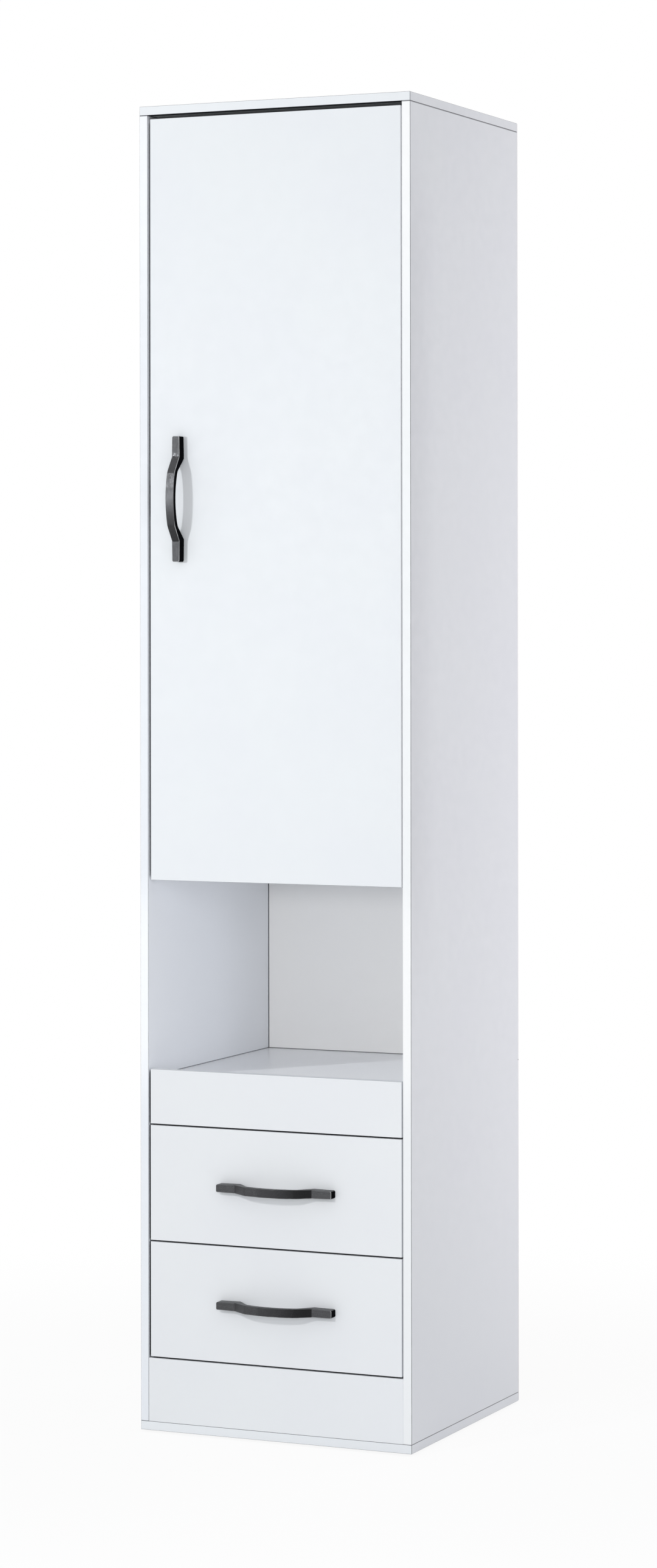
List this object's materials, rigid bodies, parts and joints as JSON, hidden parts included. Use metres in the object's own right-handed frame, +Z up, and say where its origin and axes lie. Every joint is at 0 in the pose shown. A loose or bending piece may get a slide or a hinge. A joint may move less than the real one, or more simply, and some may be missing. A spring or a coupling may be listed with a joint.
{
  "type": "storage cabinet",
  "caption": "Tall narrow white cabinet with an inset hinged door, an open niche, a fixed front rail, inset drawers and a plinth, dark bow handles.",
  "frame": {"origin": "middle of the footprint, handles included, on the floor plane under the glides", "axes": "+X to the right seen from the front, +Y to the back, +Z up"},
  "size_m": [0.4, 0.423, 1.803],
  "materials": {
    "white_board": "white melamine-faced board, satin",
    "white_thin_board": "thin fibreboard, white face",
    "dark_metal": "dark gunmetal, satin",
    "zinc_steel": "zinc plated",
    "cam_metal": "die cast",
    "hinge_steel": "nickel plated",
    "runner_metal": "white epoxy coating",
    "roller_plastic": "natural nylon",
    "glide_plastic": "moulded",
    "catch_plastic": "moulded",
    "pin_metal": "nickel plated",
    "beech": "raw beech"
  },
  "bodies": {
    "cabinet": {"left_side_panel": "white_board", "right_side_panel": "white_board", "top_panel": "white_board", "bottom_panel": "white_board", "back_panel": "white_thin_board", "compartment_floor": "white_board", "niche_floor": "white_board", "niche_front_rail": "white_board", "plinth_rail": "white_board", "lower_shelf": "white_board", "middle_shelf": "white_board", "upper_shelf": "white_board", "shelf_pins": "pin_metal", "cam_locks": "cam_metal", "cam_bolts": "zinc_steel", "dowels": "beech", "back_panel_nails": "zinc_steel", "floor_glides": "glide_plastic", "wall_bracket": "zinc_steel", "hinge_plates": "hinge_steel", "hinge_arms": "hinge_steel", "upper_drawer_left_cabinet_runner": "runner_metal", "upper_drawer_right_cabinet_runner": "runner_metal", "lower_drawer_left_cabinet_runner": "runner_metal", "lower_drawer_right_cabinet_runner": "runner_metal", "magnetic_catch": "catch_plastic", "fitting_screws": "zinc_steel"},
    "door": {"door_panel": "white_board", "door_handle": "dark_metal", "door_handle_screws": "zinc_steel", "hinge_cups": "hinge_steel", "hinge_pins": "hinge_steel", "door_fitting_screws": "zinc_steel", "catch_plate": "zinc_steel"},
    "upper_drawer": {"upper_drawer_front": "white_board", "upper_drawer_left_side": "white_board", "upper_drawer_right_side": "white_board", "upper_drawer_back": "white_board", "upper_drawer_bottom": "white_thin_board", "upper_drawer_handle": "dark_metal", "upper_drawer_handle_screws": "zinc_steel", "upper_drawer_fasteners": "zinc_steel", "upper_drawer_left_runner": "runner_metal", "upper_drawer_right_runner": "runner_metal"},
    "upper_drawer_front_wheels": {"upper_drawer_front_rollers": "roller_plastic"},
    "upper_drawer_rear_wheels": {"upper_drawer_rear_rollers": "roller_plastic"},
    "lower_drawer": {"lower_drawer_front": "white_board", "lower_drawer_left_side": "white_board", "lower_drawer_right_side": "white_board", "lower_drawer_back": "white_board", "lower_drawer_bottom": "white_thin_board", "lower_drawer_handle": "dark_metal", "lower_drawer_handle_screws": "zinc_steel", "lower_drawer_fasteners": "zinc_steel", "lower_drawer_left_runner": "runner_metal", "lower_drawer_right_runner": "runner_metal"},
    "lower_drawer_front_wheels": {"lower_drawer_front_rollers": "roller_plastic"},
    "lower_drawer_rear_wheels": {"lower_drawer_rear_rollers": "roller_plastic"}
  },
  "joints": [
    {"name": "door_swing", "type": "hinge", "parent": "cabinet", "child": "door", "pos_m": [0.175, -0.1729, 1.26825], "axis": [0, 0, 1], "range_deg": [0, 95]},
    {"name": "upper_drawer_slide", "type": "slide", "parent": "cabinet", "child": "upper_drawer", "axis": [0, -1, 0], "range_m": [0, 0.26]},
    {"name": "upper_drawer_front_wheel_spin", "type": "hinge", "parent": "cabinet", "child": "upper_drawer_front_wheels", "pos_m": [0, -0.1525, 0.28965], "axis": [1, 0, 0], "continuous": true},
    {"name": "upper_drawer_rear_wheel_spin", "type": "hinge", "parent": "upper_drawer", "child": "upper_drawer_rear_wheels", "pos_m": [0, 0.1695, 0.28805], "axis": [1, 0, 0], "continuous": true},
    {"name": "lower_drawer_slide", "type": "slide", "parent": "cabinet", "child": "lower_drawer", "axis": [0, -1, 0], "range_m": [0, 0.26]},
    {"name": "lower_drawer_front_wheel_spin", "type": "hinge", "parent": "cabinet", "child": "lower_drawer_front_wheels", "pos_m": [0, -0.1525, 0.1314], "axis": [1, 0, 0], "continuous": true},
    {"name": "lower_drawer_rear_wheel_spin", "type": "hinge", "parent": "lower_drawer", "child": "lower_drawer_rear_wheels", "pos_m": [0, 0.1695, 0.1298], "axis": [1, 0, 0], "continuous": true}
  ],
  "couplings": [
    {"joint": "upper_drawer_front_wheel_spin", "follows": "upper_drawer_slide", "rad_per_m": 100},
    {"joint": "upper_drawer_rear_wheel_spin", "follows": "upper_drawer_slide", "rad_per_m": 100},
    {"joint": "lower_drawer_front_wheel_spin", "follows": "lower_drawer_slide", "rad_per_m": 100},
    {"joint": "lower_drawer_rear_wheel_spin", "follows": "lower_drawer_slide", "rad_per_m": 100}
  ]
}
